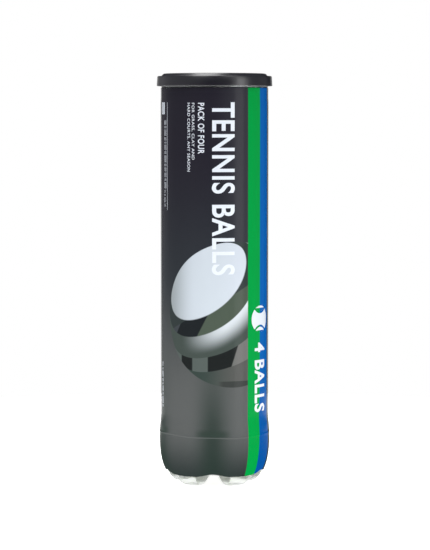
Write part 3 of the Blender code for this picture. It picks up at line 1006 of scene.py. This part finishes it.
def seam_direction(turn):
    """Where the seam is, from the ball's centre: one wave for each quarter turn."""
    major, minor = 1 - SEAM_WAVE, SEAM_WAVE
    return Vector(
        (
            major * math.cos(turn) + minor * math.cos(3 * turn),
            major * math.sin(turn) - minor * math.sin(3 * turn),
            2 * math.sqrt(major * minor) * math.sin(2 * turn),
        )
    ).normalized()


seam_turns = [2 * math.pi * i / SEAM_POINTS for i in range(SEAM_POINTS)]
seam_tree = kdtree.KDTree(SEAM_POINTS)
for i, turn in enumerate(seam_turns):
    seam_tree.insert(seam_direction(turn), i)
seam_tree.balance()


def felt_place(direction):
    """The felt's outside in a direction: rounded down into the seam, and rough with nap."""
    apart = seam_tree.find(direction)[2] * BALL_RADIUS
    across_edge = min(max((apart - SEAM_HALF) / FELT_ROUNDING, 0), 1)
    rise = math.sqrt(1 - (1 - across_edge) ** 2)
    layers = zip(TUFT_SCALES, TUFT_SHARES)
    tufts = sum(noise.noise(direction * scale) * share for scale, share in layers)
    radius = BALL_BED + (BALL_RADIUS - NAP - BALL_BED) * rise + NAP * tufts * rise
    return direction * radius


def rotation(angles):
    """A rotation by angles in degrees round X, Y and Z."""
    return Euler([math.radians(angle) for angle in angles]).to_matrix().to_4x4()


# The felt starts as the six faces of a cube, spread evenly over a ball.
felt_shape = bmesh.new()
for face_turn in CUBE_FACES:
    onto_face = rotation(face_turn) @ Matrix.Translation((0, 0, 1))
    bmesh.ops.create_grid(
        felt_shape, x_segments=FACE_CELLS, y_segments=FACE_CELLS, size=1, matrix=onto_face
    )
for vertex in felt_shape.verts:
    vertex.co = Vector([math.tan(c * math.pi / 4) for c in vertex.co]).normalized()
bmesh.ops.remove_doubles(felt_shape, verts=felt_shape.verts, dist=0.001)
for vertex in felt_shape.verts:
    vertex.co = felt_place(vertex.co.normalized())
felt_mesh = bpy.data.meshes.new("felt_cover")
felt_shape.to_mesh(felt_mesh)
felt_shape.free()
felt_mesh.shade_smooth()

cord_curve = bpy.data.curves.new("seam_cord", "CURVE")
cord_curve.dimensions = "3D"
cord_curve.bevel_depth = SEAM_CORD
cord_curve.bevel_resolution = 3
cord_spline = cord_curve.splines.new("POLY")
cord_spline.points.add(SEAM_POINTS - 1)
for point, turn in zip(cord_spline.points, seam_turns):
    point.co = (*(seam_direction(turn) * SEAM_RUBBER_RADIUS), 1)
cord_spline.use_cyclic_u = True
cord_mesh = flat_mesh(cord_curve)
cord_mesh.shade_smooth()

felt = Finish("felt", Roughness=0.95, Sheen_Weight=0.5, Sheen_Roughness=0.5, IOR=1.35)
fibres = felt.noise(1500, 6, (1, 1, 1), 0.75)
clumps = felt.noise(260, 4)
fuzz = fibres * 0.65 + clumps * 0.35
deep, tips = colour(0.36, 0.47, 0.030), colour(0.54, 0.67, 0.075)
felt_tone = felt.mix(fuzz.rise(0.3, 0.7), deep, tips)
felt.set(Base_Color=felt.mix(clumps.rise(0.6, 0.85), felt_tone, colour(0.60, 0.70, 0.14)))
felt.bump(fuzz, 0.0006, 0.9)

seam_rubber = Finish("seam_rubber", IOR=1.5)
marks = seam_rubber.noise(700, 4)
dark, light = colour(0.66, 0.67, 0.60), colour(0.82, 0.83, 0.77)
seam_rubber.set(Base_Color=seam_rubber.mix(marks, dark, light))
seam_rubber.set(Roughness=marks * 0.2 + 0.5)
seam_rubber.bump(marks, 0.0001, 0.6)

core_rubber = Finish("core_rubber", IOR=1.5)
bloom = core_rubber.noise(300, 5)
dark, light = colour(0.045, 0.045, 0.05), colour(0.075, 0.075, 0.08)
core_rubber.set(Base_Color=core_rubber.mix(bloom, dark, light))
core_rubber.set(Roughness=bloom * 0.2 + 0.5)
core_rubber.bump(bloom, 0.0001, 0.5)

for number, ball_turn in enumerate(BALL_TURNS):
    body = f"ball_{number + 1}"
    middle = Matrix.Translation((0, 0, FIRST_BALL + number * BALL_PITCH))
    for part, mesh, slot, finish, nodes in (
        ("felt", felt_mesh, "felt", felt, (f"{body}_felt_a", f"{body}_felt_b")),
        ("seam_cord", cord_mesh, "seam_rubber", seam_rubber, (f"{body}_seam",)),
    ):
        own_mesh = mesh.copy()
        own_mesh.transform(middle @ rotation(ball_turn))
        made = bpy.data.objects.new(f"{body}_{part}", own_mesh)
        bpy.context.scene.collection.objects.link(made)
        finish_piece(made, body, slot, finish, *nodes)
    for half in ("lower", "upper"):
        new_finish(f"{body}_core_{half}", core_rubber)
bpy.data.meshes.remove(felt_mesh)
bpy.data.meshes.remove(cord_mesh)


# ------------------------------------------------------------------ the studio
# The can stands on a white floor that runs out to a white background. Two soft lights above and
# in front do most of the work, a tall one to the right leaves a streak down the side, and one
# overhead lights the top of the cap. The room mirrored in glossy faces is grey, and white behind.

SENSOR = 36
LENS = 150.5455
CAMERA_ACROSS = 0.0003
CAMERA_DISTANCE = 1.58
CAMERA_HEIGHT = 0.2525
CAMERA_DIP = math.radians(3.98)
FLOOR_RADIUS = 0.5
CAN_MIDDLE = (0, 0, 0.13)

camera_data = bpy.data.cameras.new("camera")
camera_data.sensor_width = SENSOR
camera_data.lens = LENS
camera = bpy.data.objects.new("camera", camera_data)
camera.location = (CAMERA_ACROSS, -CAMERA_DISTANCE, CAMERA_HEIGHT)
camera.rotation_euler = (math.pi / 2 - CAMERA_DIP, 0, 0)
bpy.context.scene.collection.objects.link(camera)
bpy.context.scene.camera = camera

bpy.ops.mesh.primitive_circle_add(vertices=96, radius=FLOOR_RADIUS, fill_type="NGON")
floor = bpy.context.object
floor.name = "studio_floor"
floor_paint = Finish("floor_paint", Roughness=0.9, Emission_Strength=0.90)
floor_paint.set(Emission_Color=colour(1, 1, 1))
mottle = floor_paint.noise(3, 3)
dark, light = colour(0.84, 0.84, 0.84), colour(0.88, 0.88, 0.88)
floor_paint.set(Base_Color=floor_paint.mix(mottle, dark, light))
floor.data.materials.append(floor_paint.material)


def soft_light(name, place, aim, width, height, watts):
    """A rectangular light, turned to face a point."""
    data = bpy.data.lights.new(name, "AREA")
    data.shape = "RECTANGLE"
    data.size = width
    data.size_y = height
    data.energy = watts
    made = bpy.data.objects.new(name, data)
    made.location = place
    made.rotation_euler = (Vector(aim) - Vector(place)).to_track_quat("-Z", "Y").to_euler()
    bpy.context.scene.collection.objects.link(made)


soft_light("key_light", (-0.8, -1.5, 1.5), CAN_MIDDLE, 1.2, 0.9, 20)
soft_light("fill_light", (0.95, -1.4, 1.4), CAN_MIDDLE, 1.0, 0.9, 15)
soft_light("streak_light", (1.05, -0.78, 0.20), (0, 0, 0.17), 0.46, 0.8, 6)
soft_light("top_light", (-0.16, 0.02, 1.3), (0, 0, 0.28), 1.1, 0.5, 17)

world = bpy.data.worlds.new("white_background")
bpy.context.scene.world = world
world.use_nodes = True
sky = Nodes(world.node_tree)
direction = sky.add("ShaderNodeTexCoord", output="Generated")
rightward, backward, upright = sky.parts(direction)
dim, bright = colour(0.010, 0.010, 0.012), colour(0.60, 0.60, 0.62)
room = sky.mix((0 - rightward).rise(0.25, 0.85), dim, bright)
room = sky.mix(rightward.rise(0.60, 0.95), room, colour(0.40, 0.40, 0.42))
room = sky.mix(upright.rise(0.25, 0.75), room, colour(0.22, 0.22, 0.225))
level_back = backward.rise(0.88, 0.96) * (1 - upright.rise(0.06, 0.22))
room = sky.mix(level_back, room, colour(1.12, 1.12, 1.12))
seen = sky.add("ShaderNodeLightPath", output="Is Camera Ray")
background = world.node_tree.nodes["Background"]
sky.feed(background.inputs["Color"], sky.mix(seen, room, colour(1, 1, 1)))
bpy.context.scene.view_settings.view_transform = "Standard"
